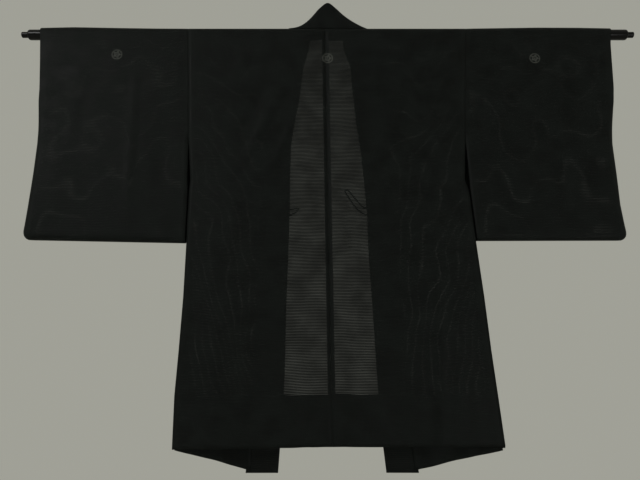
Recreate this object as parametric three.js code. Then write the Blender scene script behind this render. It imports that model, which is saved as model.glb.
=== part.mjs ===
// A woman's unlined summer haori jacket of sheer black silk, hung through its sleeves on a
// round wooden rod. Millimetres, +Z up. The origin is the middle of the rod's axis. +X runs
// along the rod to the wearer's right sleeve, and +Y is the way that the wearer faces.
import * as THREE from 'three';
import { mergeVertices } from 'three/addons/utils/BufferGeometryUtils.js';

// ---- Driving sizes ----

// The rod: a round bar with a bevelled shoulder and a thin pin at each end.
const ROD_LENGTH = 1380;
const ROD_RADIUS = 12;
const ROD_BEVEL = 4;
const PIN_LENGTH = 16;
const PIN_RADIUS = 6.8;

// The cloth: one layer, the hem zone that is turned up inside, and the double collar band.
const LAYER = 1;
const TURNED_UP = 2.2;
const TURNED_UP_HEIGHT = 100;
const BAND = 2;
const BAND_WIDTH = 65;
const SEAM_GAP = 0.3;

// Cloth that hangs over the rod goes round it on this radius, with a little air beneath.
const AIR_OVER_ROD = 1;
const OVER_ROD = ROD_RADIUS + AIR_OVER_ROD + LAYER / 2;

// The neck opening, from the centre-back seam to its corner on each side, and its height.
const NECK_HALF_WIDTH = 91;
const NECK_ANGLE = 51;

// Heights of the hems. The back hem is level, and each front drops towards the collar.
const BACK_HEM = -905;
const BACK_HEM_SIDE_DROP = { left: 6, right: 0 };
const FRONT_HEM_AT_SIDE = -915;
const FRONT_HEM_AT_COLLAR = -954;
const COLLAR_FOOT = -959;

// The centre-back seam leans a little as it falls.
const CENTRE_SEAM = { top: -6, foot: 7 };

// The body's side edges, and half the depth between back and front, in the middle of each
// panel and at its side edge. The edges draw back beside the armpit openings.
const BODY_SIDES = [
  { z: 0, left: -320, right: 317, depth: OVER_ROD, sideDepth: OVER_ROD },
  { z: -258, left: -308, right: 303, depth: 11.5, sideDepth: 9.5 },
  { z: -308, left: -303.5, right: 300, depth: 11.5, sideDepth: 9 },
  { z: -353, left: -299.5, right: 297, depth: 11.5, sideDepth: 8.5 },
  { z: -376, left: -301.5, right: 305, depth: 11.5, sideDepth: 8.5 },
  { z: -498, left: -302, right: 315, depth: 12.5, sideDepth: 8.5 },
  { z: -608, left: -303, right: 325, depth: 13.5, sideDepth: 9 },
  { z: -718, left: -307, right: 333, depth: 15, sideDepth: 9.5 },
  { z: -808, left: -311, right: 341, depth: 17, sideDepth: 10.5 },
  { z: -960, left: -310, right: 354, depth: 20, sideDepth: 12 },
];

// The collar's free edges beside the open front. Their sections are shared with the fronts.
const FREE_EDGES = [
  { z: 0, left: -41, right: 36 },
  { z: -28, left: -43, right: 37 },
  { z: -74, left: -56, right: 53 },
  { z: -114, left: -60, right: 55 },
  { z: -155, left: -65, right: 59 },
  { z: -215, left: -76, right: 64.5 },
  { z: -270, left: -83, right: 72 },
  { z: -340, left: -84, right: 79 },
  { z: -422, left: -84, right: 85 },
  { z: -523, left: -86.5, right: 87.5 },
  { z: -618, left: -89, right: 93 },
  { z: -698, left: -90, right: 97 },
  { z: -768, left: -91, right: 100.5 },
  { z: -850, left: -95, right: 105.5 },
  { z: -854, left: -95.2, right: 105.8 },
  { z: -905, left: -98.5, right: 110 },
  { z: COLLAR_FOOT, left: -102, right: 116 },
];

// The collar from the middle of the back neck to the front of the rod. It stands up from
// the neck seam at the back and lays itself down flat at the front. x counts from the
// middle of the neck, and bulge is how far the band bows out between its two edges.
const NECK_BAND = [
  { seamX: 0, seamY: -8.5, seamZ: 11.7, edgeX: 0, edgeY: -11, edgeZ: 75, left: 0, right: 0 },
  { seamX: 25, seamY: -8.5, seamZ: 11.7, edgeX: 14, edgeY: -10.5, edgeZ: 68, left: 0, right: 2 },
  { seamX: 50, seamY: -8.5, seamZ: 11.7, edgeX: 23, edgeY: -7, edgeZ: 55, left: 0, right: 4 },
  { seamX: 73, seamY: -8.4, seamZ: 11.9, edgeX: 29, edgeY: -3, edgeZ: 43, left: 0, right: 5 },
  { seamX: 87, seamY: -6, seamZ: 13.4, edgeX: 33, edgeY: 3, edgeZ: 32, left: 0, right: 4 },
  { seamX: 90.5, seamY: 0, seamZ: 15, edgeX: 36, edgeY: 10, edgeZ: 21, left: 0, right: 3 },
  { seamX: 95, seamY: 9.6, seamZ: 11.4, edgeX: 38, edgeY: 16, edgeZ: 9, left: 0, right: 1 },
];

// Sleeve edges: the outer one is the cuff, and the inner one is beside the body. The foot
// rises a little to the cuff on the left.
const SLEEVE_OUTER = [
  { z: 15, left: -660, right: 650 },
  { z: -30, left: -656, right: 645 },
  { z: -136, left: -648, right: 642 },
  { z: -216, left: -645, right: 634 },
  { z: -268, left: -644, right: 630 },
  { z: -338, left: -646, right: 632 },
  { z: -408, left: -650, right: 633 },
  { z: -470, left: -654, right: 639 },
  { z: -500, left: -654, right: 640 },
];
const SLEEVE_INNER = [
  { z: -258, left: -308.3, right: 303.3 },
  { z: -353, left: -306.5, right: 307.5 },
  { z: -376, left: -304.5, right: 308.5 },
  { z: -498, left: -305.5, right: 318 },
];
const SLEEVE_DEPTH = [
  { z: 0, middle: OVER_ROD, inner: OVER_ROD },
  { z: -100, middle: 12, inner: 11.95 },
  { z: -258, middle: 10, inner: 9.5 },
  { z: -498, middle: 9.5, inner: 9 },
];
const SLEEVE_FOOT = { inner: { left: -492, right: -487 }, outer: { left: -484, right: -486 } };
const ARMHOLE_FOOT = -258;
const CUFF_FOOT = -239;
const CUFF_OPENING_TAPER = 70;
const SLEEVE_CORNER = 16;
const SLEEVE_ROUND = 13;

// How far the top of each sleeve stands off the rod, from the body to the cuff.
const SLEEVE_TOP = [
  { out: 0, left: 0, right: 0 },
  { out: 0.25, left: 0.6, right: 1.6 },
  { out: 0.5, left: 2.2, right: 3.2 },
  { out: 0.78, left: 4.4, right: 2.8 },
  { out: 1, left: 2.4, right: 1 },
];

// The gusset is a strip folded inwards between back and front, wider at the hem.
const GUSSET = { top: -374, foot: -908, topReach: 7, footReach: 27 };

// Soft folds of the hanging cloth. Each runs from its top to its foot, and lifts the panel
// outwards by its height, or inwards where the height is negative.
const BACK_FOLDS = [
  { topX: -90, topZ: -198, footX: -185, footZ: -328, width: 34, height: 2.5, open: false },
  { topX: -135, topZ: -158, footX: -190, footZ: -248, width: 30, height: -2, open: false },
  { topX: 90, topZ: -168, footX: 190, footZ: -308, width: 40, height: 2, open: false },
  { topX: -225, topZ: -568, footX: -232, footZ: BACK_HEM, width: 36, height: 3.5, open: true },
  { topX: -150, topZ: -648, footX: -158, footZ: BACK_HEM, width: 32, height: -3, open: true },
  { topX: -85, topZ: -608, footX: -84, footZ: BACK_HEM, width: 38, height: 3.5, open: true },
  { topX: 34, topZ: -608, footX: 72, footZ: BACK_HEM, width: 34, height: 4, open: true },
  { topX: 140, topZ: -708, footX: 150, footZ: BACK_HEM, width: 36, height: -3, open: true },
  { topX: 236, topZ: -488, footX: 222, footZ: BACK_HEM, width: 34, height: 4.5, open: true },
];
const FRONT_FOLDS = [
  { topX: -190, topZ: -308, footX: -235, footZ: FRONT_HEM_AT_SIDE, width: 40, height: 4, open: true },
  { topX: 200, topZ: -358, footX: 255, footZ: FRONT_HEM_AT_SIDE, width: 42, height: 4.5, open: true },
  { topX: -170, topZ: -98, footX: -250, footZ: -338, width: 46, height: 2.5, open: false },
  { topX: 165, topZ: -108, footX: 245, footZ: -348, width: 46, height: 2.5, open: false },
];
const SLEEVE_FOLDS = [
  { topX: -436, topZ: -68, footX: -432, footZ: -478, width: 42, height: 2.5, open: false },
  { topX: -560, topZ: -98, footX: -590, footZ: -458, width: 46, height: 2, open: false },
  { topX: 430, topZ: -88, footX: 440, footZ: -473, width: 42, height: 2, open: false },
  { topX: 560, topZ: -68, footX: 585, footZ: -468, width: 46, height: 2.5, open: false },
];

// The tie loops: a thin sewn cord, doubled, on the free edge of the collar.
const LOOP_CORD = 3;
const LOOP_GAP = 0.7;
const LOOPS = {
  left: { z: -420, reach: 20, rise: 8, spread: 12 },
  right: { z: -417, reach: 44, rise: 44, spread: 14 },
};

// ---- Materials ----

const silk = (name, colour) => new THREE.MeshStandardMaterial({
  name, color: colour, roughness: 0.75, metalness: 0, side: THREE.DoubleSide,
});
const bodySilk = silk('body silk', 0x1c1e1d);
const sleeveSilk = silk('sleeve silk', 0x202322);
const gussetSilk = silk('gusset silk', 0x151716);
const collarSilk = silk('collar silk', 0x121413);
const cordSilk = silk('loop cord', 0x0e0f0f);
const lacquer = new THREE.MeshStandardMaterial({
  name: 'black lacquer', color: 0x101010, roughness: 0.3, metalness: 0,
});

// ---- Reading the tables ----

// The value of a column between two rows of a table, where key says what the rows go by.
function between(table, key, value, column) {
  const last = table.length - 1;
  const order = Math.sign(table[last][key] - table[0][key]);
  const found = table.findIndex((row) => (row[key] - value) * order >= 0);
  const next = THREE.MathUtils.clamp(found < 0 ? last : found, 1, last);
  const [before, after] = [table[next - 1], table[next]];
  const inside = THREE.MathUtils.clamp(
    THREE.MathUtils.mapLinear(value, before[key], after[key], 0, 1), 0, 1,
  );
  return THREE.MathUtils.lerp(before[column], after[column], inside);
}

const atHeight = (table, z, column) => between(table, 'z', z, column);
const lerp = THREE.MathUtils.lerp;
const centreSeam = (z) => lerp(CENTRE_SEAM.top, CENTRE_SEAM.foot, z / BACK_HEM);
const neckCorner = (side) => Math.sign(BODY_SIDES[0][side]) * NECK_HALF_WIDTH;
const outward = (side) => Math.sign(BODY_SIDES[0][side]);

// How far the folds lift the cloth at a point of a panel.
function liftOfFolds(folds, x, z) {
  let lift = 0;
  for (const fold of folds) {
    const along = (z - fold.topZ) / (fold.footZ - fold.topZ);
    if (along <= 0 || (along >= 1 && !fold.open)) continue;
    const down = Math.min(along, 1);
    const strength = fold.open ? Math.sin(down * Math.PI / 2) : Math.sin(down * Math.PI);
    const off = (x - lerp(fold.topX, fold.footX, down)) / fold.width;
    lift += fold.height * strength * Math.exp(-off * off);
  }
  return lift;
}

// Half the depth of the body at a point: shallow at the side edge, deeper in the panel.
const SIDE_FADE = 80;
function bodyDepth(side, x, z, folds) {
  const fromEdge = Math.abs(atHeight(BODY_SIDES, z, side) - x);
  const inPanel = THREE.MathUtils.smoothstep(fromEdge, 0, SIDE_FADE);
  const middle = atHeight(BODY_SIDES, z, 'depth') + liftOfFolds(folds, x, z);
  return lerp(atHeight(BODY_SIDES, z, 'sideDepth'), middle, inPanel);
}

// ---- Cloth ----

// A wall of cloth. A flat sheet of columns and rows is moved to its hanging shape, points
// that meet are sewn together, and the sheet is given its thickness: half a layer outwards,
// and inwards by what lies under it. keep says which cells of the sheet are cloth.
function clothWall({ columns, rows, place, keep, outer, inner }) {
  const sheet = new THREE.PlaneGeometry(1, 1, columns, rows);
  const points = sheet.attributes.position;
  const under = new Float32Array(points.count);
  for (let i = 0; i < points.count; i += 1) {
    const column = i % (columns + 1);
    const row = rows - Math.floor(i / (columns + 1));
    points.setXYZ(i, ...place(column, row).toArray());
    under[i] = inner(column, row);
  }
  sheet.setAttribute('under', new THREE.BufferAttribute(under, 1));
  const cells = [];
  for (let t = 0; t < sheet.index.count; t += 6) {
    const cell = t / 6;
    const column = cell % columns;
    const row = rows - 1 - Math.floor(cell / columns);
    if (!keep || keep(column, row)) cells.push(...sheet.index.array.slice(t, t + 6));
  }
  sheet.setIndex(cells);
  sheet.deleteAttribute('uv');
  sheet.deleteAttribute('normal');
  const sewn = mergeVertices(sheet, 1e-3);
  sewn.computeVertexNormals();
  return thicken(sewn, outer);
}

// Two faces and an edge strip, from a sheet with outward normals.
function thicken(sheet, outer) {
  const { position, normal, under } = sheet.attributes;
  const count = position.count;
  const vertices = new Float32Array(count * 6);
  const point = new THREE.Vector3();
  const away = new THREE.Vector3();
  for (let i = 0; i < count; i += 1) {
    away.fromBufferAttribute(normal, i);
    point.fromBufferAttribute(position, i).addScaledVector(away, outer);
    point.toArray(vertices, i * 3);
    point.fromBufferAttribute(position, i).addScaledVector(away, -under.getX(i));
    point.toArray(vertices, (count + i) * 3);
  }
  const faces = [];
  const edges = new Map();
  const corners = sheet.index.array;
  for (let t = 0; t < corners.length; t += 3) {
    const [a, b, c] = corners.slice(t, t + 3);
    if (a === b || b === c || c === a) continue;
    faces.push(a, b, c, count + a, count + c, count + b);
    for (const [from, to] of [[a, b], [b, c], [c, a]]) edges.set(`${from}_${to}`, [from, to]);
  }
  for (const [from, to] of edges.values()) {
    if (edges.has(`${to}_${from}`)) continue;
    faces.push(to, from, count + from, to, count + from, count + to);
  }
  const wall = new THREE.BufferGeometry();
  wall.setAttribute('position', new THREE.BufferAttribute(vertices, 3));
  wall.setIndex(faces);
  wall.computeVertexNormals();
  return wall;
}

function addPiece(name, geometry, material) {
  const mesh = new THREE.Mesh(geometry, material);
  mesh.name = name;
  haori.add(mesh);
}

// ---- The rod ----

function rodGeometry() {
  const half = ROD_LENGTH / 2;
  const pinEnd = half + PIN_LENGTH;
  const outline = [
    [0, -pinEnd], [PIN_RADIUS, -pinEnd], [PIN_RADIUS, -half],
    [ROD_RADIUS - ROD_BEVEL / 2, -half], [ROD_RADIUS, -half + ROD_BEVEL],
    [ROD_RADIUS, half - ROD_BEVEL], [ROD_RADIUS - ROD_BEVEL / 2, half],
    [PIN_RADIUS, half], [PIN_RADIUS, pinEnd], [0, pinEnd],
  ].map(([x, y]) => new THREE.Vector2(x, y));
  return new THREE.LatheGeometry(outline, 32).rotateZ(-Math.PI / 2);
}

// ---- The body halves ----

// Columns from the centre to the neck corner, and from there to the side edge.
const NECK_COLUMNS = 4;
const SHOULDER_COLUMNS = 8;
const BODY_COLUMNS = NECK_COLUMNS + SHOULDER_COLUMNS;

// Rows up the back, round the rod and down the front. The row pairs 2 mm apart are where the
// turned-up hem ends inside.
const BACK_ROWS = [0, 50, TURNED_UP_HEIGHT, TURNED_UP_HEIGHT + 2, 150, 200, 250, 300, 350, 407,
  455, 500, 529, 552, 597, 647, 700, 760, 830, 905];
const ROD_ANGLES = [26, NECK_ANGLE, 74, 98, 122, 150];
const NECK_ROW = BACK_ROWS.length + ROD_ANGLES.indexOf(NECK_ANGLE);
const FRONT_START = BACK_ROWS.length + ROD_ANGLES.length;
const BODY_ROWS = FRONT_START + FREE_EDGES.length - 1;

function bodyPoint(side, column, row) {
  const sign = outward(side);
  const across = side === 'left' ? BODY_COLUMNS - column : column;
  const inNeck = across / NECK_COLUMNS;
  const inShoulder = (across - NECK_COLUMNS) / SHOULDER_COLUMNS;
  const half = SEAM_GAP / 2;
  if (row < FRONT_START) {
    const up = row < BACK_ROWS.length ? BACK_ROWS[row] / -BACK_HEM : 1;
    const widthShare = across / BODY_COLUMNS;
    const hem = BACK_HEM - BACK_HEM_SIDE_DROP[side] * widthShare;
    const z = hem * (1 - up);
    const centre = centreSeam(z) + sign * half;
    const edge = atHeight(BODY_SIDES, z, side);
    const corner = neckCorner(side);
    let x = inShoulder < 0 ? lerp(centre, corner, inNeck) : lerp(corner, edge, inShoulder);
    if (row < BACK_ROWS.length) {
      return new THREE.Vector3(x, -bodyDepth(side, x, z, BACK_FOLDS), z);
    }
    const angle = THREE.MathUtils.degToRad(ROD_ANGLES[row - BACK_ROWS.length]);
    const overShare = row > NECK_ROW ? (row - NECK_ROW) / (FRONT_START - NECK_ROW) : 0;
    const frontCorner = FREE_EDGES[0][side] + sign * (BAND_WIDTH + SEAM_GAP);
    if (inShoulder >= 0) x = lerp(lerp(corner, frontCorner, overShare), edge, inShoulder);
    return new THREE.Vector3(x, -OVER_ROD * Math.cos(angle), OVER_ROD * Math.sin(angle));
  }
  const station = FREE_EDGES[row - FRONT_START];
  const isFoot = row === BODY_ROWS;
  const seamZ = isFoot ? FRONT_HEM_AT_COLLAR : station.z;
  const drop = (FRONT_HEM_AT_SIDE - FRONT_HEM_AT_COLLAR) * seamZ / FRONT_HEM_AT_COLLAR;
  const share = Math.max(inShoulder, 0);
  const z = seamZ + drop * share;
  const seam = atHeight(FREE_EDGES, seamZ, side) + sign * (BAND_WIDTH + SEAM_GAP);
  const x = lerp(seam, atHeight(BODY_SIDES, z, side), share);
  return new THREE.Vector3(x, bodyDepth(side, x, z, FRONT_FOLDS), z);
}

// The wall is thicker where the hem is turned up inside.
function bodyUnder(row) {
  const backHem = row <= BACK_ROWS.indexOf(TURNED_UP_HEIGHT);
  const frontHem = row >= BODY_ROWS - 2;
  return backHem || frontHem ? TURNED_UP - LAYER / 2 : LAYER / 2;
}

// Above the neck seam only the columns outside the neck opening are cloth.
function bodyKeeps(side, column, row) {
  const across = side === 'left' ? BODY_COLUMNS - 1 - column : column;
  return row < NECK_ROW || across >= NECK_COLUMNS;
}

function bodyGeometry(side) {
  return clothWall({
    columns: BODY_COLUMNS,
    rows: BODY_ROWS,
    place: (column, row) => bodyPoint(side, column, row),
    keep: (column, row) => bodyKeeps(side, column, row),
    outer: LAYER / 2,
    inner: (column, row) => bodyUnder(row),
  });
}

// ---- The sleeves ----

// Distances in from the outer edge where the sleeve rounds over, and even columns inside.
const ROUND_STEPS = [0, 0.1, 0.42, 1];
const EVEN_COLUMNS = 8;
const SLEEVE_COLUMNS = EVEN_COLUMNS + ROUND_STEPS.length - 1;
const SLEEVE_HEIGHTS = [-430, -376, -330, -285, ARMHOLE_FOOT, CUFF_FOOT, -210, -180, -145, -100, -50, 0];
const SLEEVE_ANGLES = [26, 50, 74, 98, 122, 150];
const SLEEVE_HALF_ROWS = ROUND_STEPS.length + SLEEVE_HEIGHTS.length;
const SLEEVE_ROWS = 2 * SLEEVE_HALF_ROWS + SLEEVE_ANGLES.length - 1;

const quarterRound = (share) => Math.sqrt(1 - (1 - share) ** 2);

// The sleeve's half depth at a point, before it rounds over at its closed edges.
function sleeveDepth(x, z, fromInner) {
  const middle = atHeight(SLEEVE_DEPTH, z, 'middle') + liftOfFolds(SLEEVE_FOLDS, x, z);
  return lerp(atHeight(SLEEVE_DEPTH, z, 'inner'), middle, THREE.MathUtils.smoothstep(fromInner, 0, 60));
}

function sleeveInner(side, z) {
  if (z >= ARMHOLE_FOOT) return atHeight(BODY_SIDES, z, side) + outward(side) * SEAM_GAP;
  return atHeight(SLEEVE_INNER, z, side);
}

// How far the outer edge stays open: fully at the cuff, and not at all below it.
const cuffOpen = (z) => THREE.MathUtils.clamp((z - CUFF_FOOT) / CUFF_OPENING_TAPER, 0, 1);

function sleevePoint(side, column, row) {
  const sign = outward(side);
  const across = side === 'left' ? SLEEVE_COLUMNS - column : column;
  const front = row > SLEEVE_ROWS / 2;
  const half = front ? SLEEVE_ROWS - row : row;
  const overRod = half >= SLEEVE_HALF_ROWS;
  const isRound = half < ROUND_STEPS.length;
  const foot = lerp(SLEEVE_FOOT.inner[side], SLEEVE_FOOT.outer[side], across / SLEEVE_COLUMNS);
  let z = 0;
  if (isRound) z = foot + SLEEVE_ROUND * ROUND_STEPS[half];
  else if (!overRod) z = SLEEVE_HEIGHTS[half - ROUND_STEPS.length];
  const inner = sleeveInner(side, z);
  const outer = atHeight(SLEEVE_OUTER, overRod ? SLEEVE_OUTER[0].z : z, side);
  const roundStart = outer - sign * SLEEVE_ROUND;
  const stepsIn = SLEEVE_COLUMNS - across;
  const inRound = stepsIn < ROUND_STEPS.length - 1;
  const x = inRound
    ? outer - sign * SLEEVE_ROUND * ROUND_STEPS[stepsIn]
    : lerp(inner, roundStart, across / EVEN_COLUMNS);
  const fromOuter = Math.abs(outer - x);
  if (overRod) {
    const angle = THREE.MathUtils.degToRad(SLEEVE_ANGLES[row - SLEEVE_HALF_ROWS]);
    const rise = OVER_ROD + between(SLEEVE_TOP, 'out', (x - inner) / (outer - inner), side);
    return new THREE.Vector3(x, -OVER_ROD * Math.cos(angle), rise * Math.sin(angle));
  }
  const cornerIn = Math.max(SLEEVE_CORNER - fromOuter, 0);
  const cornerRise = SLEEVE_CORNER - Math.sqrt(SLEEVE_CORNER ** 2 - cornerIn ** 2);
  if (z < SLEEVE_HEIGHTS[0]) z += cornerRise;
  let depth = sleeveDepth(x, z, Math.abs(x - inner));
  if (isRound) depth *= quarterRound(ROUND_STEPS[half]);
  if (inRound) {
    const closed = depth * quarterRound(ROUND_STEPS[stepsIn]);
    depth = lerp(closed, depth, cuffOpen(z));
  }
  return new THREE.Vector3(x, front ? depth : -depth, z);
}

function sleeveGeometry(side) {
  return clothWall({
    columns: SLEEVE_COLUMNS,
    rows: SLEEVE_ROWS,
    place: (column, row) => sleevePoint(side, column, row),
    outer: LAYER / 2,
    inner: () => LAYER / 2,
  });
}

// ---- The gussets ----

const GUSSET_COLUMNS = 6;
const GUSSET_ROWS = [GUSSET.foot, -858, -804, -750, -700, -640, -580, -520, -460, -415, GUSSET.top];

// The strip runs from the back's edge in to its fold and out again to the front's edge.
function gussetPoint(side, column, row) {
  const z = GUSSET_ROWS[row];
  const down = (z - GUSSET.top) / (GUSSET.foot - GUSSET.top);
  const reach = lerp(GUSSET.topReach, GUSSET.footReach, down);
  const turnedUp = z < BACK_HEM + TURNED_UP_HEIGHT + 2;
  const wall = turnedUp ? TURNED_UP - LAYER / 2 : LAYER / 2;
  const depth = atHeight(BODY_SIDES, z, 'sideDepth') - wall - SEAM_GAP * 1.5 - LAYER / 2;
  const angle = lerp(-Math.PI / 2, Math.PI / 2, column / GUSSET_COLUMNS);
  const sign = outward(side);
  const edge = atHeight(BODY_SIDES, z, side) - sign;
  const y = sign < 0 ? Math.sin(angle) : -Math.sin(angle);
  return new THREE.Vector3(edge - sign * reach * Math.cos(angle), y * depth, z);
}

function gussetGeometry(side) {
  return clothWall({
    columns: GUSSET_COLUMNS,
    rows: GUSSET_ROWS.length - 1,
    place: (column, row) => gussetPoint(side, column, row),
    outer: LAYER / 2,
    inner: () => LAYER / 2,
  });
}

// ---- The collar ----

// The band's two edges as stations, from the left foot round the neck to the right foot.
function frontStations(side) {
  const sign = outward(side);
  return FREE_EDGES.map((row) => {
    const seam = row[side] + sign * BAND_WIDTH;
    const depth = bodyDepth(side, seam, row.z, FRONT_FOLDS);
    return {
      seam: new THREE.Vector3(seam, depth, row.z),
      edge: new THREE.Vector3(row[side], depth + 1, row.z),
      bulge: 0,
    };
  });
}

function neckStations(side) {
  const sign = outward(side);
  return NECK_BAND.map((row) => ({
    seam: new THREE.Vector3(sign * row.seamX, row.seamY, row.seamZ),
    edge: new THREE.Vector3(sign * row.edgeX, row.edgeY, row.edgeZ),
    bulge: row[side],
  }));
}

const BAND_COLUMNS = 3;
const NECK_STEPS = 2;

// The neck's stations are joined by smooth curves with extra sections between them.
function bandStations() {
  const neck = [...neckStations('left').reverse(), ...neckStations('right').slice(1)];
  const left = frontStations('left').reverse();
  const right = frontStations('right');
  const round = [left.at(-1), ...neck, right[0]];
  const seams = new THREE.CatmullRomCurve3(round.map((station) => station.seam));
  const edges = new THREE.CatmullRomCurve3(round.map((station) => station.edge));
  const last = round.length - 1;
  const smooth = [];
  for (let i = 1; i < last * NECK_STEPS; i += 1) {
    const share = i / (last * NECK_STEPS);
    const at = share * last;
    const before = round[Math.floor(at)].bulge;
    const after = round[Math.ceil(at)].bulge;
    smooth.push({
      seam: seams.getPoint(share),
      edge: edges.getPoint(share),
      bulge: lerp(before, after, at % 1),
    });
  }
  return [...left, ...smooth, ...right];
}

function collarGeometry() {
  const stations = bandStations();
  const last = stations.length - 1;
  const bandPoint = (column, row) => {
    const { seam, edge, bulge } = stations[row];
    const share = column / BAND_COLUMNS;
    const before = stations[Math.max(row - 1, 0)];
    const after = stations[Math.min(row + 1, last)];
    const along = after.seam.clone().add(after.edge).sub(before.seam).sub(before.edge);
    const across = edge.clone().sub(seam);
    const bow = along.cross(across).normalize().multiplyScalar(4 * bulge * share * (1 - share));
    return seam.clone().lerp(edge, share).add(bow);
  };
  return clothWall({
    columns: BAND_COLUMNS,
    rows: last,
    place: bandPoint,
    outer: BAND / 2,
    inner: () => BAND / 2,
  });
}

// ---- The tie loops ----

// A cord that leaves the collar's edge, bends back on itself and returns beside its start.
function loopGeometry(side) {
  const { z, reach, rise, spread } = LOOPS[side];
  const sign = outward(side);
  const leg = spread / 2;
  const seam = atHeight(FREE_EDGES, z, side) + sign * BAND_WIDTH;
  const y = bodyDepth(side, seam, z, FRONT_FOLDS) + 1;
  const at = (out, up) => {
    const edge = atHeight(FREE_EDGES, z + up, side) - sign * LOOP_GAP;
    return new THREE.Vector3(edge - sign * out * reach, y, z + up);
  };
  const route = new THREE.CatmullRomCurve3([
    at(0, -leg), at(0.15, -leg), at(0.5, rise * 0.25 - leg * 0.8), at(0.8, rise * 0.7 - leg * 0.5),
    at(1, rise), at(0.85, rise + leg * 0.4), at(0.5, rise * 0.5 + leg * 0.6), at(0.15, leg), at(0, leg),
  ]);
  const section = new THREE.Shape().absarc(0, 0, LOOP_CORD / 2, 0, 2 * Math.PI, false);
  return new THREE.ExtrudeGeometry(section, { steps: 24, curveSegments: 4, extrudePath: route });
}

// ---- The jacket ----

const haori = new THREE.Group();
addPiece('rod', rodGeometry(), lacquer);
for (const side of ['left', 'right']) {
  addPiece(`body_${side}`, bodyGeometry(side), bodySilk);
  addPiece(`gusset_${side}`, gussetGeometry(side), gussetSilk);
  addPiece(`sleeve_${side}`, sleeveGeometry(side), sleeveSilk);
  addPiece(`loop_${side}`, loopGeometry(side), cordSilk);
}
addPiece('collar', collarGeometry(), collarSilk);

export default haori;
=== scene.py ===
"""A sheer black summer haori jacket, hung through its sleeves on a lacquered rod.

Metres, +Z up, and the back of the jacket faces -Y. The origin is the middle of the rod's axis.
"""

import math

import bmesh
import bpy
import numpy as np
from mathutils import Matrix, Vector, noise


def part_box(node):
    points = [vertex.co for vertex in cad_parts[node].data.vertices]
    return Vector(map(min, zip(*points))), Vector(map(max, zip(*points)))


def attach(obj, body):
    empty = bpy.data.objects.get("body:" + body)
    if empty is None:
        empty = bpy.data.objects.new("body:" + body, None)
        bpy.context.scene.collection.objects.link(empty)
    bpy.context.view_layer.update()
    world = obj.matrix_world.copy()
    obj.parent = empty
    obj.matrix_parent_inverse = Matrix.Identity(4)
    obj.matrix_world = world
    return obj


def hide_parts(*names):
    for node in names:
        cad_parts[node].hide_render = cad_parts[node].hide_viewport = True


bl_info = {
    "name": "Haori Jacket on a Rod",
    "version": (1, 0, 0),
    "blender": (4, 5, 0),
    "location": "3D View > Sidebar > Haori",
    "description": "Builds a sheer summer haori jacket hung on a round rod",
    "category": "Object",
}

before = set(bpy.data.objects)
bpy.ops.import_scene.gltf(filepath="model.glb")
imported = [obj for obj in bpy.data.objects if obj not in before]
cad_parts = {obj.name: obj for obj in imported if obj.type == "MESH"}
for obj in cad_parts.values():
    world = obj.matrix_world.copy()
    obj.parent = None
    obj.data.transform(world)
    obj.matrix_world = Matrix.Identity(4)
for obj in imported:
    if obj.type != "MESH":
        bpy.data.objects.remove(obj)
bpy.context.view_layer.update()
ROD_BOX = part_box("rod")
SIDES = {"left": -1, "right": 1}

# ---- Sizes, in metres ----

ROD_RADIUS = ROD_BOX[1].z
ROD_BEVEL = 0.004
PIN_LENGTH = 0.016
PIN_RADIUS = 0.0068
OVER_ROD = ROD_RADIUS + 0.0015
BACK_HEM = 0.905
FRONT_HEM = 0.954
FRONT_SIDE_HEM = 0.915
SIDE_DROP = {"left": 0.006, "right": 0.0}
HEM_DEPTH = 0.1
NECK_HALF_WIDTH = 0.091
BAND_WIDTH = 0.065
PANEL_WIDTH = 0.34
EDGE_TURNING = 0.014
EDGE_SOFTNESS = 0.002
ROW_SPACING = 0.0031
HALF_ROW = ROW_SPACING / 2
UNDER_BAND = 0.008
UNDER_SEAM = 0.006
CENTRE_TOP = -0.006
CENTRE_FOOT = 0.007
SIDE_FADE = 0.08
SLEEVE_FADE = 0.06
ARMHOLE_FADE = 0.02
ALLOWANCE = 0.0075
ARMHOLE_FOOT = -0.258
CUFF_FOOT = -0.239
CUFF_TAPER = 0.07
SLEEVE_CORNER = 0.016
SLEEVE_ROUND = 0.013
SLEEVE_FOOT = {"left": (-0.492, -0.484), "right": (-0.487, -0.486)}
GUSSET_TOP = -0.374
GUSSET_FOOT = -0.908
GUSSET_REACH = (0.007, 0.027)
GUSSET_PINCH = 0.3
GUSSET_LAID_OUT = (0.06, 0.534)
CREST_PLACES = ((-0.479, -0.0566), (-0.0005, -0.066), (0.4693, -0.066))

# Tables by height: the body's side edges at the back, and the front's own, with its half
# depths. Then the collar's free edges, and the sleeves' outer and inner edges with their half
# depths. The last table is how far a sleeve rises over the rod, by the share of the way out.
BODY = {
    "z": (0, -0.258, -0.308, -0.353, -0.376, -0.498, -0.608, -0.718, -0.808, -0.96),
    "left": (-0.32, -0.308, -0.3035, -0.2995, -0.3015, -0.302, -0.303, -0.307, -0.311, -0.31),
    "right": (0.317, 0.303, 0.3, 0.297, 0.305, 0.315, 0.325, 0.333, 0.341, 0.354),
    "front_left": (-0.32, -0.309, -0.3095, -0.309, -0.308, -0.3045, -0.303, -0.307, -0.311, -0.31),
    "front_right": (0.317, 0.304, 0.3065, 0.309, 0.3105, 0.317, 0.325, 0.333, 0.341, 0.354),
    "middle": (OVER_ROD, 0.0115, 0.0115, 0.0115, 0.0115, 0.0125, 0.0135, 0.015, 0.017, 0.02),
    "side": (OVER_ROD, 0.0095, 0.009, 0.0085, 0.0085, 0.0085, 0.009, 0.0095, 0.0105, 0.012),
}
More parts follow.
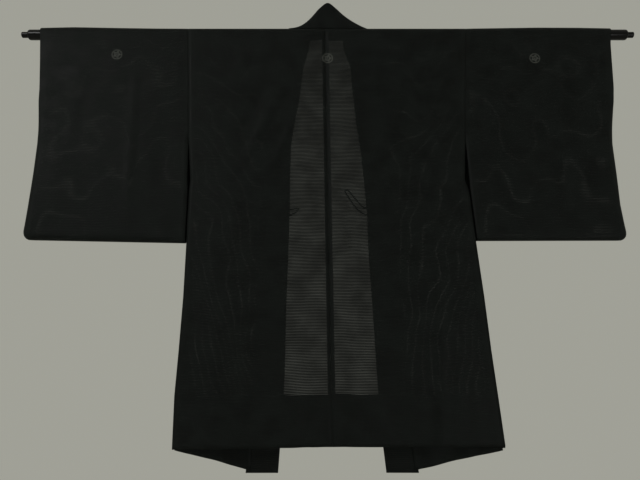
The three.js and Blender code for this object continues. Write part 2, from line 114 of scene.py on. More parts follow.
FREE_EDGE = {
    "z": (0, -0.028, -0.074, -0.114, -0.155, -0.215, -0.27, -0.34, -0.422, -0.523, -0.618,
          -0.698, -0.768, -0.85, -0.905, -0.959),
    "left": (-0.041, -0.043, -0.056, -0.06, -0.065, -0.076, -0.083, -0.084, -0.084, -0.0865,
             -0.089, -0.09, -0.091, -0.095, -0.0985, -0.102),
    "right": (0.036, 0.037, 0.053, 0.055, 0.059, 0.0645, 0.072, 0.079, 0.085, 0.0875, 0.093,
              0.097, 0.1005, 0.1055, 0.11, 0.116),
}
CUFF = {
    "z": (0.015, -0.03, -0.136, -0.216, -0.268, -0.338, -0.408, -0.47, -0.5),
    "left": (-0.66, -0.656, -0.648, -0.645, -0.644, -0.646, -0.65, -0.654, -0.654),
    "right": (0.65, 0.645, 0.642, 0.634, 0.63, 0.632, 0.633, 0.639, 0.64),
}
SLEEVE_INNER = {
    "z": (-0.258, -0.353, -0.376, -0.498),
    "left": (-0.3083, -0.3065, -0.3045, -0.3055),
    "right": (0.3033, 0.3075, 0.3085, 0.318),
}
SLEEVE_DEPTH = {
    "z": (0, -0.1, -0.258, -0.498),
    "middle": (OVER_ROD, 0.012, 0.01, 0.0095),
    "inner": (OVER_ROD, 0.01195, 0.0095, 0.009),
}
SLEEVE_TOP = {
    "out": (0, 0.25, 0.5, 0.78, 1),
    "left": (0, 0.0006, 0.0022, 0.0044, 0.0024),
    "right": (0, 0.0016, 0.0032, 0.0028, 0.001),
}

# The collar from the middle of the back neck to the front of the rod: its seam, its free
# edge's distance out on each side with its depth and height, and how far it bows out.
NECK_BAND = (
    {"seam": (0, -0.0095, 0.0096), "out": (0, 0),
     "edge": (-0.011, 0.0755), "bow": (0, 0)},
    {"seam": (0.025, -0.0095, 0.0096), "out": (0.018, 0.018),
     "edge": (-0.0105, 0.0625), "bow": (0, 0)},
    {"seam": (0.05, -0.0095, 0.0096), "out": (0.027, 0.029),
     "edge": (-0.007, 0.0535), "bow": (0, 0.001)},
    {"seam": (0.073, -0.0094, 0.0098), "out": (0.034, 0.039),
     "edge": (-0.003, 0.0445), "bow": (-0.002, 0.002)},
    {"seam": (0.087, -0.007, 0.0124), "out": (0.037, 0.045),
     "edge": (0.003, 0.033), "bow": (-0.004, 0.002)},
    {"seam": (0.0905, 0, 0.015), "out": (0.038, 0.043),
     "edge": (0.01, 0.021), "bow": (-0.004, 0.001)},
    {"seam": (0.095, 0.0096, 0.0114), "out": (0.039, 0.039),
     "edge": (0.016, 0.009), "bow": (-0.002, 0)},
)

# Creases: where each starts and ends as (x, z), its half width and how far it lifts the
# cloth, inwards where negative. One that runs off the hem stays at its full height there.
BACK_CREASES = (
    ((-0.11, -0.15), (-0.19, -0.328), 0.01, 0.0034, False),
    ((-0.135, -0.12), (-0.19, -0.248), 0.014, -0.0022, False),
    ((0.09, -0.168), (0.19, -0.308), 0.03, 0.002, False),
    ((-0.225, -0.568), (-0.232, -BACK_HEM), 0.026, 0.0035, True),
    ((-0.15, -0.648), (-0.158, -BACK_HEM), 0.022, -0.003, True),
    ((-0.085, -0.608), (-0.084, -BACK_HEM), 0.028, 0.0035, True),
    ((-0.03, -0.76), (-0.046, -BACK_HEM), 0.014, -0.0022, True),
    ((0.034, -0.608), (0.072, -BACK_HEM), 0.018, 0.004, True),
    ((0.058, -0.79), (0.106, -BACK_HEM), 0.012, 0.0024, True),
    ((0.14, -0.708), (0.15, -BACK_HEM), 0.026, -0.003, True),
    ((0.236, -0.45), (0.222, -BACK_HEM), 0.01, 0.0045, True),
    ((-0.285, -0.78), (-0.262, -BACK_HEM), 0.012, 0.003, True),
    ((0.03, -0.3), (0.052, -0.76), 0.006, 0.003, False),
    ((0.07, -0.79), (0.13, -BACK_HEM), 0.008, 0.0045, True),
    ((0.05, -0.8), (0.078, -0.885), 0.006, -0.003, False),
    ((-0.045, -0.795), (-0.066, -0.875), 0.006, 0.003, False),
    ((-0.306, -0.79), (-0.245, -BACK_HEM), 0.008, 0.004, True),
    ((-0.075, -0.21), (-0.125, -0.335), 0.008, 0.0026, False),
    ((-0.2, -0.02), (-0.21, -0.2), 0.02, 0.0012, False),
    ((0.21, -0.03), (0.235, -0.24), 0.022, 0.0014, False),
    ((-0.26, -0.36), (-0.14, -0.47), 0.02, 0.0014, False),
)
FRONT_CREASES = (
    ((-0.19, -0.308), (-0.235, -FRONT_SIDE_HEM), 0.03, 0.004, True),
    ((0.2, -0.358), (0.255, -FRONT_SIDE_HEM), 0.032, 0.0045, True),
    ((-0.17, -0.098), (-0.25, -0.338), 0.036, 0.0025, False),
    ((0.165, -0.108), (0.245, -0.348), 0.036, 0.0025, False),
    ((-0.215, -0.55), (-0.2, -FRONT_SIDE_HEM), 0.016, -0.0024, True),
    ((0.222, -0.6), (0.208, -FRONT_SIDE_HEM), 0.018, -0.0026, True),
    ((-0.28, -0.66), (-0.276, -FRONT_SIDE_HEM), 0.014, 0.002, True),
    ((0.3, -0.7), (0.306, -FRONT_SIDE_HEM), 0.014, 0.002, True),
)
SLEEVE_CREASES = (
    ((-0.436, -0.068), (-0.432, -0.478), 0.006, 0.0028, False),
    ((-0.56, -0.06), (-0.57, -0.3), 0.014, 0.0016, False),
    ((-0.6, -0.2), (-0.585, -0.458), 0.03, 0.002, False),
    ((-0.37, -0.12), (-0.36, -0.44), 0.024, -0.0016, False),
    ((0.43, -0.088), (0.44, -0.473), 0.028, 0.002, False),
    ((0.56, -0.068), (0.585, -0.468), 0.036, 0.0025, False),
    ((0.5, -0.18), (0.508, -0.44), 0.014, 0.0016, False),
    ((0.365, -0.14), (0.375, -0.45), 0.022, -0.0016, False),
)

# The tie loops: height, reach, rise and spread of each.
LOOPS = {"left": (-0.42, 0.02, 0.008, 0.012), "right": (-0.417, 0.044, 0.044, 0.014)}
LOOP_RADIUS = 0.0015
LOOP_STEPS = 40

STITCH_WIDTH = 0.0004
STITCH_PROUD = 0.0003
STITCH_SPACING = 0.009
STITCHES_ACROSS = 32
HEM_STITCH = 0.0016
COLLAR_STITCH = 0.003
COLLAR_STITCHES_TOP = -0.03
COLLAR_STITCHES_RUN = 0.92

# How far one layer lies from the next: hems, allowance and gussets inside the outer layer, the
# dips under the band and the sleeve's edge, and half the gap between the body halves.
HEM_INSET = 0.0012
ALLOWANCE_INSET = 0.0008
GUSSET_INSET = 0.0012
GUSSET_SIDE_INSET = 0.0006
BAND_DIP = 0.0016
SLEEVE_DIP = 0.001
COLLAR_PROUD = 0.001
SEAM_GAP = 0.0001

# Unevenness of the cloth: swells, with how fast they come along x, y and z, how much the
# creases wander, and the small pleats that gather towards the back hem.
BROAD_SWELL = 0.0011
BROAD_RATES = (9, 5, 5)
FINE_SWELL = 0.00035
FINE_RATES = (34, 7, 16)
SWELL_FADE = 0.08
CREASE_WANDER = 0.35
CREASE_RATES = (40, 9, 0)
PLEAT_LIFT = 0.0011
PLEAT_TOP = -0.72
PLEAT_RUN = 0.18
PLEAT_RATE = 118
PLEAT_SWAY = 3
PLEAT_SWAY_RATE = 17

# ---- Looks ----

# The weave: where in its turn a row opens, how open a turned-in edge is, how solid the closed
# rows are, and the scales and ranges of its unevenness.
ROW_OPENS = 0.86
TURNED_OPENNESS = 0.03
CLOSED_OPACITY = 0.975
DRIFT_SCALE = 7.0
PATCH_SCALE = 22.0
WEAVE_SPREAD = (0.25, 0.75)
TONE_SPREAD = (0.3, 0.7)
OPEN_RANGE = (0.65, 1.0)
TONE_RANGE = (0.75, 1.3)
SILK_ROUGHNESS = (0.5, 0.66)
THREAD_SCALE = 900.0
THREAD_RELIEF = 0.25
ROW_GROOVE = -0.4

# The emblem's parts as shares of its radius, with how much the open rows fade it.
PETALS = 5.0
PETAL_REACH = 0.62
PETAL_SWELL = 0.12
EYE = (0.2, 0.045)
RING = (0.9, 0.1)
CREST_ROWS = (-0.9, 0.6)
CREST_STRENGTH = (0.95, 0.55)

CORD_TWIST = 520.0
# The cord's colours: a painted shade in the grooves of its twist and a painted sheen on the crowns of its
# strands.
CORD_GROOVE_SHADE = (0.004, 0.0042, 0.004)
CORD_CROWN_SHEEN = (0.016, 0.0165, 0.016)
BRUSHING_STRETCH = (6, 120, 120)
# How much paler the lacquer's brush ridges are painted, as a painted sheen.
BRUSH_RIDGE_SHEEN = 2.2

# The stage: each light's place, width and power, and the camera.
LIGHTS = {
    "key light": ((-2.0, -1.9, 0.8), 0.9, 20),
    "fill light": ((1.6, -2.0, -1.2), 1.2, 9),
    "front light": ((0.6, 2.6, 1.2), 1.4, 10),
}
LIGHTS_AIM = (0, 0, -0.4)
FLOOR_RADIUS = 2.2
FLOOR_HEIGHT = -1.45
FLOOR_COLOUR = (0.8, 0.79, 0.74)
CAMERA_PLACE = (-0.0177, -1.257, -0.7543)
CAMERA_TILT = 12.1
LENS = 33.75
SENSOR = 36

# Sheets as they were cut: width, length, and the area where it isn't a rectangle.
CUTS = {
    "body": ((0.34, 2.1), 0.56),
    "sleeve": ((0.36, 1.03), None),
    "gusset": ((0.07, 0.55), 0.026),
    "collar": ((0.135, 2.2), None),
    "allowance": ((0.015, 0.91), None),
}


# ---- Reading the tables ----


def read(table, column, value, key="z"):
    """The value of a table's column, worked out between its rows."""
    keys = table[key]
    order = 1 if keys[-1] > keys[0] else -1
    return float(np.interp(order * value, [order * k for k in keys], table[column]))


def mix(a, b, share):
    return a + (b - a) * share


def smooth(share):
    share = min(max(share, 0), 1)
    return share * share * (3 - 2 * share)


def centre_seam(z):
    return mix(CENTRE_TOP, CENTRE_FOOT, -z / BACK_HEM)


def swell(place, rates):
    """Smooth noise at a place, with its own rate along each axis."""
    return noise.noise(Vector([at * rate for at, rate in zip(place, rates)]))


def crease_lift(creases, x, z):
    """How far the creases lift the cloth at a point."""
    lift = 0
    for (top_x, top_z), (foot_x, foot_z), width, height, runs_off in creases:
        along = (z - top_z) / (foot_z - top_z)
        if along <= 0 or (along >= 1 and not runs_off):
            continue
        along = min(along, 1)
        strength = math.sin(along * math.pi * (0.5 if runs_off else 1))
        wander = CREASE_WANDER * swell((top_x, z, 0), CREASE_RATES)
        off = (x - mix(top_x, foot_x, along)) / width + wander
        lift += height * strength * math.exp(-off * off)
    return lift


def slack(x, facing, z):
    """Small uneven swells of thin cloth, different on the back and the front."""
    place = (x, facing, z)
    lift = BROAD_SWELL * swell(place, BROAD_RATES) + FINE_SWELL * swell(place, FINE_RATES)
    return smooth(-z / SWELL_FADE) * lift


def body_edge(side, z, facing):
    """The body's side edge. The front's stays under the sleeve, and the back's draws away."""
    return read(BODY, side if facing < 0 else f"front_{side}", z)


def body_depth(side, x, z, creases, facing):
    """Half the depth of the body at a point: shallow at the side edge, deeper in the panel."""
    from_edge = abs(body_edge(side, z, facing) - x)
    sway = PLEAT_SWAY * math.sin(x * PLEAT_SWAY_RATE)
    pleats = PLEAT_LIFT * smooth((PLEAT_TOP - z) / PLEAT_RUN) * math.sin(x * PLEAT_RATE + sway)
    lift = crease_lift(creases, x, z) + slack(x, facing, z) + pleats
    middle = read(BODY, "middle", z) + lift
    return mix(read(BODY, "side", z), middle, smooth(from_edge / SIDE_FADE))


# ---- Cloth ----


def make_piece(name, mesh_builder, material, nodes=()):
    """A new piece on the root body, with its material, that stands for some CAD nodes."""
    mesh = bpy.data.meshes.new(name)
    mesh_builder.to_mesh(mesh)
    mesh_builder.free()
    mesh.shade_smooth()
    mesh.materials.append(material)
    piece = bpy.data.objects.new(name, mesh)
    bpy.context.scene.collection.objects.link(piece)
    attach(piece, "root")
    if nodes:
        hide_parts(*nodes)
    return piece


def cloth_grid(columns, rows, place, flat, keep=None):
    """A flat grid of cloth moved to its hanging shape, with its cut kept as a UV map."""
    cloth = bmesh.new()
    bmesh.ops.create_grid(cloth, x_segments=columns, y_segments=rows, size=0.5)
    uv = cloth.loops.layers.uv.new("cut")
    cells = {}
    for vertex in cloth.verts:
        column = round((vertex.co.x + 0.5) * columns)
        row = round((vertex.co.y + 0.5) * rows)
        cells[vertex] = (column, row)
        vertex.co = place(column, row)
    for face in cloth.faces:
        for loop in face.loops:
            loop[uv].uv = flat(*cells[loop.vert])
    if keep:
        unused = [
            face for face in cloth.faces
            if not keep(min(cells[v][0] for v in face.verts), min(cells[v][1] for v in face.verts))
        ]
        bmesh.ops.delete(cloth, geom=unused, context="FACES")
    bmesh.ops.remove_doubles(cloth, verts=cloth.verts, dist=1e-6)
    return cloth


def give_thickness(piece, thickness):
    wall = piece.modifiers.new("cloth thickness", "SOLIDIFY")
    wall.thickness = thickness
    wall.offset = 0


def turn_outwards(cloth, probe, direction):
    """Turns the whole sheet over if its face nearest to a point doesn't look that way."""
    face = min(cloth.faces, key=lambda f: (f.calc_center_median() - probe).length)
    face.normal_update()
    if face.normal.dot(direction) < 0:
        bmesh.ops.reverse_faces(cloth, faces=cloth.faces)


# ---- Materials ----


def new_material(name):
    material = bpy.data.materials.new(name)
    material.use_nodes = True
    return material, material.node_tree, material.node_tree.nodes["Principled BSDF"]


def math_node(tree, operation, first, second=None, third=None, clamp=False):
    node = tree.nodes.new("ShaderNodeMath")
    node.operation = operation
    node.use_clamp = clamp
    for socket, value in zip(node.inputs, (first, second, third)):
        if isinstance(value, (int, float)):
            socket.default_value = value
        elif value is not None:
            tree.links.new(value, socket)
    return node.outputs[0]


def ramp_between(tree, value, low, high, out_low, out_high):
    node = tree.nodes.new("ShaderNodeMapRange")
    node.interpolation_type = "SMOOTHSTEP"
    tree.links.new(value, node.inputs["Value"])
    for name, number in (("From Min", low), ("From Max", high), ("To Min", out_low), ("To Max", out_high)):
        node.inputs[name].default_value = number
    return node.outputs["Result"]


def noise_value(tree, vector, scale, detail=2):
    node = tree.nodes.new("ShaderNodeTexNoise")
    node.inputs["Scale"].default_value = scale
    node.inputs["Detail"].default_value = detail
    tree.links.new(vector, node.inputs["Vector"])
    return node.outputs["Fac"]


def add_bump(tree, shader, height, strength, distance):
    bump = tree.nodes.new("ShaderNodeBump")
    bump.inputs["Strength"].default_value = strength
    bump.inputs["Distance"].default_value = distance
    tree.links.new(height, bump.inputs["Height"])
    tree.links.new(bump.outputs[0], shader.inputs["Normal"])


def blend_colours(tree, share, first, second):
    """Two colours mixed by a share. The first may also be a socket."""
    node = tree.nodes.new("ShaderNodeMix")
    node.data_type = "RGBA"
    tree.links.new(share, node.inputs["Factor"])
    if isinstance(first, bpy.types.NodeSocket):
        tree.links.new(first, node.inputs["A"])
    else:
        node.inputs["A"].default_value = (*first, 1)
    node.inputs["B"].default_value = (*second, 1)
    return node.outputs["Result"]


def crest_mask(tree):
    """1 on the pale parts of the round emblems of the back, and 0 elsewhere.

    Each is a plain generic device: a ring, and a five-part rosette round a small middle.
    """
    sizes = bpy.context.scene.haori
    coordinates = tree.nodes.new("ShaderNodeTexCoord").outputs["Object"]
    split = tree.nodes.new("ShaderNodeSeparateXYZ")
    tree.links.new(coordinates, split.inputs[0])
    x, y, z = split.outputs
    on_back = math_node(tree, "LESS_THAN", y, 0.0)
    whole = None
    for crest_x, crest_z in CREST_PLACES:
        across = math_node(tree, "SUBTRACT", x, crest_x)
        up = math_node(tree, "SUBTRACT", z, crest_z)
        squares = math_node(tree, "MULTIPLY_ADD", across, across, math_node(tree, "MULTIPLY", up, up))
        radius = math_node(tree, "DIVIDE", math_node(tree, "SQRT", squares), sizes.crest_radius)
        angle = math_node(tree, "ARCTAN2", up, across)
        lobes = math_node(tree, "COSINE", math_node(tree, "MULTIPLY", angle, PETALS))
        petal_edge = math_node(tree, "MULTIPLY_ADD", lobes, PETAL_SWELL, PETAL_REACH)
        petals = math_node(tree, "LESS_THAN", radius, petal_edge)
        eye = math_node(tree, "COMPARE", radius, *EYE)
        ring = math_node(tree, "COMPARE", radius, *RING)
        solid = math_node(tree, "SUBTRACT", petals, eye, clamp=True)
        emblem = math_node(tree, "MAXIMUM", solid, ring)
        whole = emblem if whole is None else math_node(tree, "MAXIMUM", whole, emblem)
    return math_node(tree, "MULTIPLY", whole, on_back)


def silk_material(name, colour, openness, turned_at=1.0, crested=False):
    """Gauze silk: closely woven rows with an open row between them, lightly uneven.

    Past turned_at from the middle of its cut the edge is turned in, so it is closed there.
    """
    sizes = bpy.context.scene.haori
    material, tree, cloth = new_material(name)
    uv = tree.nodes.new("ShaderNodeUVMap")
    uv.uv_map = "cut"
    split = tree.nodes.new("ShaderNodeSeparateXYZ")
    tree.links.new(uv.outputs[0], split.inputs[0])
    across, along = split.outputs[:2]
    drift = math_node(tree, "SUBTRACT", noise_value(tree, uv.outputs[0], DRIFT_SCALE, 1), 0.5)
    shifted = math_node(tree, "MULTIPLY_ADD", drift, sizes.row_drift, along)
    turns = math_node(tree, "MULTIPLY", shifted, 2 * math.pi / sizes.row_spacing)
    rows = math_node(tree, "SINE", turns)
    patchy = noise_value(tree, uv.outputs[0], PATCH_SCALE, 3)
    gaps = ramp_between(tree, rows, ROW_OPENS, 1.0, 0.0, 1.0)
    from_centre = math_node(tree, "ABSOLUTE", across)
    turned_from = turned_at - EDGE_SOFTNESS
    single = ramp_between(tree, from_centre, turned_from, turned_at, 1.0, TURNED_OPENNESS)
    patches = ramp_between(tree, patchy, *WEAVE_SPREAD, *OPEN_RANGE)
    open_share = math_node(tree, "MULTIPLY", gaps, math_node(tree, "MULTIPLY", patches, single))
    opacity = math_node(tree, "MULTIPLY_ADD", open_share, -openness, CLOSED_OPACITY)

    thread = tree.nodes.new("ShaderNodeTexWave")
    thread.bands_direction = "X"
    thread.inputs["Scale"].default_value = THREAD_SCALE
    tree.links.new(uv.outputs[0], thread.inputs["Vector"])
    groove = math_node(tree, "MULTIPLY", gaps, ROW_GROOVE)
    height = math_node(tree, "MULTIPLY_ADD", thread.outputs["Fac"], THREAD_RELIEF, groove)
    add_bump(tree, cloth, height, 0.25, 0.0002)

    lightest = TONE_RANGE[1]
    tone = ramp_between(tree, patchy, *TONE_SPREAD, *TONE_RANGE)
    share = math_node(tree, "DIVIDE", tone, lightest)
    surface = blend_colours(tree, share, (0, 0, 0), [c * lightest for c in colour])
    if crested:
        strength = ramp_between(tree, rows, *CREST_ROWS, *CREST_STRENGTH)
        faded = math_node(tree, "MULTIPLY", crest_mask(tree), strength)
        surface = blend_colours(tree, faded, surface, sizes.crest_colour)
    tree.links.new(surface, cloth.inputs["Base Color"])
    tree.links.new(opacity, cloth.inputs["Alpha"])
    roughness = ramp_between(tree, patchy, *TONE_SPREAD, *SILK_ROUGHNESS)
    tree.links.new(roughness, cloth.inputs["Roughness"])
    cloth.inputs["Specular IOR Level"].default_value = 0.09
    cloth.inputs["Sheen Weight"].default_value = 0.012
    cloth.inputs["Sheen Roughness"].default_value = 0.4
    return material


def cord_material(name):
    """Tightly twisted silk, for the loops' cord and the sewing thread, with painted shade in the grooves
    of the twist and a painted sheen on the crowns of its strands.
    """
    material, tree, cord = new_material(name)
    coordinates = tree.nodes.new("ShaderNodeTexCoord").outputs["Object"]
    twist = tree.nodes.new("ShaderNodeTexWave")
    twist.bands_direction = "DIAGONAL"
    twist.inputs["Scale"].default_value = CORD_TWIST
    tree.links.new(coordinates, twist.inputs["Vector"])
    add_bump(tree, cord, twist.outputs["Fac"], 0.7, 0.0004)
    # Painted shade and sheen: the grooves of the twist are coloured darker and the strands' crowns paler.
    surface = blend_colours(tree, twist.outputs["Fac"], CORD_GROOVE_SHADE, CORD_CROWN_SHEEN)
    tree.links.new(surface, cord.inputs["Base Color"])
    cord.inputs["Roughness"].default_value = 0.55
    return material


def lacquer_material():
    """Glossy black lacquer with faint brush relief along the rod, whose ridges get a painted sheen, and a
    few fine rubs.
    """
    dark = bpy.context.scene.haori.lacquer_colour
    material, tree, lacquer = new_material("black lacquer")
    coordinates = tree.nodes.new("ShaderNodeTexCoord").outputs["Object"]
    stretch = tree.nodes.new("ShaderNodeMapping")
    stretch.inputs["Scale"].default_value = BRUSHING_STRETCH
    tree.links.new(coordinates, stretch.inputs["Vector"])
    brushing = noise_value(tree, stretch.outputs[0], 3.0, 4)
    rubs = noise_value(tree, coordinates, 45.0, 6)
    tree.links.new(ramp_between(tree, rubs, 0.45, 0.75, 0.16, 0.34), lacquer.inputs["Roughness"])
    # Painted sheen: the brush ridges are coloured paler than the lacquer itself.
    share = ramp_between(tree, brushing, 0.45, 0.8, 0.0, 1.0)
    surface = blend_colours(tree, share, dark, [c * BRUSH_RIDGE_SHEEN for c in dark])
    tree.links.new(surface, lacquer.inputs["Base Color"])
    add_bump(tree, lacquer, brushing, 0.12, 0.0002)
    lacquer.inputs["Specular IOR Level"].default_value = 0.08
    lacquer.inputs["Coat Weight"].default_value = 0.1
    lacquer.inputs["Coat Roughness"].default_value = 0.08
    return material


def plain_material(name, colour):
    material, _, plain = new_material(name)
    plain.inputs["Base Color"].default_value = (*colour, 1)
    plain.inputs["Roughness"].default_value = 0.9
    return material


# ---- Shapes ----

NECK_COLUMNS = 10
PANEL_COLUMNS = 28
BACK_ROWS = 116
ARC_ROWS = 14
FRONT_ROWS = 120
NECK_ROW = BACK_ROWS + 5
FRONT_START = BACK_ROWS + ARC_ROWS
BODY_ROWS = FRONT_START + FRONT_ROWS
ARC_LENGTH = math.pi * OVER_ROD


def body_point(side, column, row, inset=0.0):
    """A point of a body half, from the back hem over the rod to the front hem."""
    sign = SIDES[side]
    in_panel = (column - NECK_COLUMNS) / PANEL_COLUMNS
    corner = sign * NECK_HALF_WIDTH
    if row <= FRONT_START:
        hem = BACK_HEM + SIDE_DROP[side] * column / (NECK_COLUMNS + PANEL_COLUMNS)
        z = -hem * (1 - min(row / BACK_ROWS, 1))
        edge = read(BODY, side, z)
        centre = centre_seam(z) + sign * SEAM_GAP
        if in_panel < 0:
            x = mix(centre, corner, column / NECK_COLUMNS)
        else:
            over = max((row - NECK_ROW) / (FRONT_START - NECK_ROW), 0)
            front_corner = FREE_EDGE[side][0] + sign * (BAND_WIDTH - UNDER_BAND)
            x = mix(mix(corner, front_corner, over), edge, in_panel)
        if row <= BACK_ROWS:
            return Vector((x, -body_depth(side, x, z, BACK_CREASES, -1) + inset, z))
        angle = math.pi * (row - BACK_ROWS) / ARC_ROWS
        return Vector((x, -OVER_ROD * math.cos(angle), OVER_ROD * math.sin(angle)))
    share = max(in_panel, 0)
    seam_z = -FRONT_HEM * (row - FRONT_START) / FRONT_ROWS
    z = seam_z * mix(1, FRONT_SIDE_HEM / FRONT_HEM, share)
    seam = read(FREE_EDGE, side, seam_z) + sign * (BAND_WIDTH - UNDER_BAND)
    x = mix(seam, body_edge(side, z, 1), share)
    under = BAND_DIP * (1 - smooth(abs(x - seam) / (2 * UNDER_BAND)))
    return Vector((x, body_depth(side, x, z, FRONT_CREASES, 1) - under - inset, z))


def body_flat(side, column, row):
    """Where that point lay in the uncut cloth."""
    across = SIDES[side] * PANEL_WIDTH * column / (NECK_COLUMNS + PANEL_COLUMNS)
    if row <= BACK_ROWS:
        return across, BACK_HEM * row / BACK_ROWS
    if row <= FRONT_START:
        return across, BACK_HEM + ARC_LENGTH * (row - BACK_ROWS) / ARC_ROWS
    return across, BACK_HEM + ARC_LENGTH + FRONT_HEM * (row - FRONT_START) / FRONT_ROWS


def body_grid(side):
    return cloth_grid(
        NECK_COLUMNS + PANEL_COLUMNS, BODY_ROWS,
        lambda column, row: body_point(side, column, row),
        lambda column, row: body_flat(side, column, row),
        lambda column, row: row <= NECK_ROW or column >= NECK_COLUMNS,
    )


def hem_grid(side, front):
    """The cloth turned up inside the hem, a little way under the outer layer."""
    rows = 13
    first = BODY_ROWS if front else 0
    step = -1 if front else 1
    # At the front this comes out some 5 mm deeper than the row of stitches.
    per_row = (FRONT_ROWS if front else BACK_ROWS) * HEM_DEPTH / BACK_HEM / rows
    skipped = NECK_COLUMNS if front else 0

    def place(column, row):
        return body_point(side, column + skipped, first + step * row * per_row, HEM_INSET)

    def flat(column, row):
        u, v = body_flat(side, column + skipped, first + step * row * per_row)
        return u, v + HALF_ROW

    return cloth_grid(NECK_COLUMNS + PANEL_COLUMNS - skipped, rows, place, flat)


def allowance_grid():
    """The centre-back seam's two allowances, pressed open inside the back."""
    rows = BACK_ROWS

    def place(column, row):
        z = -BACK_HEM * (1 - row / rows)
        x = centre_seam(z) + mix(-ALLOWANCE, ALLOWANCE, column / 4)
        side = "left" if x < 0 else "right"
        return Vector((x, -body_depth(side, x, z, BACK_CREASES, -1) + ALLOWANCE_INSET, z))

    def flat(column, row):
        return ALLOWANCE * (column / 2 - 1), BACK_HEM * row / rows + HALF_ROW

    return cloth_grid(4, rows, place, flat)


ROUND_STEPS = (0, 0.02, 0.08, 0.2, 0.4, 0.68, 1)
EVEN_COLUMNS = 36
SLEEVE_COLUMNS = EVEN_COLUMNS + len(ROUND_STEPS) - 1
SLEEVE_RISE_ROWS = 58
SLEEVE_ARC_ROWS = 14
SLEEVE_HALF = len(ROUND_STEPS) + SLEEVE_RISE_ROWS
SLEEVE_ROWS = 2 * SLEEVE_HALF + SLEEVE_ARC_ROWS - 1


def quarter_round(share):
    return math.sqrt(max(1 - (1 - share) ** 2, 0))


def sleeve_inner(side, z):
    """The sleeve's edge by the body: sewn under it above the armpit, and free below."""
    if z >= ARMHOLE_FOOT:
        return read(BODY, side, z) - SIDES[side] * UNDER_SEAM * smooth((z - ARMHOLE_FOOT) / ARMHOLE_FADE)
    return read(SLEEVE_INNER, side, z)


def sleeve_point(side, column, row):
    """A point of a sleeve, from its foot at the back, over the rod, to its foot at the front."""
    sign = SIDES[side]
    front = row > SLEEVE_ROWS / 2
    half = SLEEVE_ROWS - row if front else row
    over_rod = half >= SLEEVE_HALF
    is_round = half < len(ROUND_STEPS)
    foot = mix(*SLEEVE_FOOT[side], column / SLEEVE_COLUMNS)
    if over_rod:
        z = 0
    elif is_round:
        z = foot + SLEEVE_ROUND * ROUND_STEPS[half]
    else:
        z = mix(foot + SLEEVE_ROUND, 0, (half - len(ROUND_STEPS) + 1) / SLEEVE_RISE_ROWS)
    inner = sleeve_inner(side, z)
    outer = read(CUFF, side, CUFF["z"][0] if over_rod else z)
    steps_in = SLEEVE_COLUMNS - column
    in_round = steps_in < len(ROUND_STEPS) - 1
    if in_round:
        x = outer - sign * SLEEVE_ROUND * ROUND_STEPS[steps_in]
    else:
        x = mix(inner, outer - sign * SLEEVE_ROUND, column / EVEN_COLUMNS)
    under = 0
    if z > ARMHOLE_FOOT:
        under = SLEEVE_DIP * (1 - smooth(abs(x - inner) / (2 * UNDER_SEAM)))
    if over_rod:
        angle = math.pi * (row - SLEEVE_HALF + 1) / SLEEVE_ARC_ROWS
        share = (x - inner) / (outer - inner)
        rise = OVER_ROD + read(SLEEVE_TOP, side, share, "out") - under
        return Vector((x, -(OVER_ROD - under) * math.cos(angle), rise * math.sin(angle)))
    corner = max(SLEEVE_CORNER - abs(outer - x), 0)
    if z < foot + 2 * SLEEVE_CORNER:
        corner_rise = SLEEVE_CORNER - math.sqrt(SLEEVE_CORNER ** 2 - corner ** 2)
        z += corner_rise * (1 - (z - foot) / (2 * SLEEVE_CORNER))
    facing = 1 if front else -1
    lift = crease_lift(SLEEVE_CREASES, x, z) + slack(x, facing, z)
    middle = read(SLEEVE_DEPTH, "middle", z) + lift
    depth = mix(read(SLEEVE_DEPTH, "inner", z), middle, smooth(abs(x - inner) / SLEEVE_FADE)) - under
    if is_round:
        depth *= quarter_round(ROUND_STEPS[half])
    if in_round:
        opened = min(max((z - CUFF_FOOT) / CUFF_TAPER, 0), 1)
        depth = mix(depth * quarter_round(ROUND_STEPS[steps_in]), depth, opened)
    return Vector((x, facing * depth, z))


def sleeve_grid(side):
    def flat(column, row):
        steps_in = SLEEVE_COLUMNS - column
        across = (PANEL_WIDTH - SLEEVE_ROUND) * column / EVEN_COLUMNS
        if steps_in < len(ROUND_STEPS) - 1:
            across = PANEL_WIDTH - SLEEVE_ROUND * ROUND_STEPS[steps_in]
        return SIDES[side] * (across - PANEL_WIDTH / 2), CUTS["sleeve"][0][1] * row / SLEEVE_ROWS

    return cloth_grid(
        SLEEVE_COLUMNS, SLEEVE_ROWS,
        lambda column, row: sleeve_point(side, column, row), flat,
    )


def gusset_grid(side):
    """The strip between back and front below the sleeve, folded inwards."""
    sign = SIDES[side]
    columns, rows = 16, 66

    def place(column, row):
        down = row / rows
        z = mix(GUSSET_TOP, GUSSET_FOOT, down)
        reach = mix(*GUSSET_REACH, down)
        angle = mix(-math.pi / 2, math.pi / 2, column / columns)
        depth = read(BODY, "side", z) - GUSSET_INSET
        edge = read(BODY, side, z) - sign * GUSSET_SIDE_INSET
        pinch = 1 - GUSSET_PINCH * math.cos(angle) ** 2
        return Vector((edge - sign * reach * math.cos(angle), math.sin(angle) * depth * pinch, z))

    def flat(column, row):
        width, length = GUSSET_LAID_OUT
        return width * column / columns, length * row / rows

    return cloth_grid(columns, rows, place, flat)


def curve_through(points, share):
    """A point on a smooth curve through some points."""
    last = len(points) - 1
    at = min(max(share, 0), 1) * last
    step = min(int(at), last - 1)
    inside = at - step
    before = points[max(step - 1, 0)]
    start, end = points[step], points[step + 1]
    after = points[min(step + 2, last)]
    return 0.5 * (
        2 * start + (end - before) * inside
        + (2 * before - 5 * start + 4 * end - after) * inside ** 2
        + (3 * start - before - 3 * end + after) * inside ** 3
    )


def front_station(side, z):
    """The collar's seam and free edge on a front, at a height."""
    edge = read(FREE_EDGE, side, z)
    seam = edge + SIDES[side] * BAND_WIDTH
    depth = body_depth(side, seam, z, FRONT_CREASES, 1)
    return Vector((seam, depth, z)), Vector((edge, depth + COLLAR_PROUD, z)), 0.0


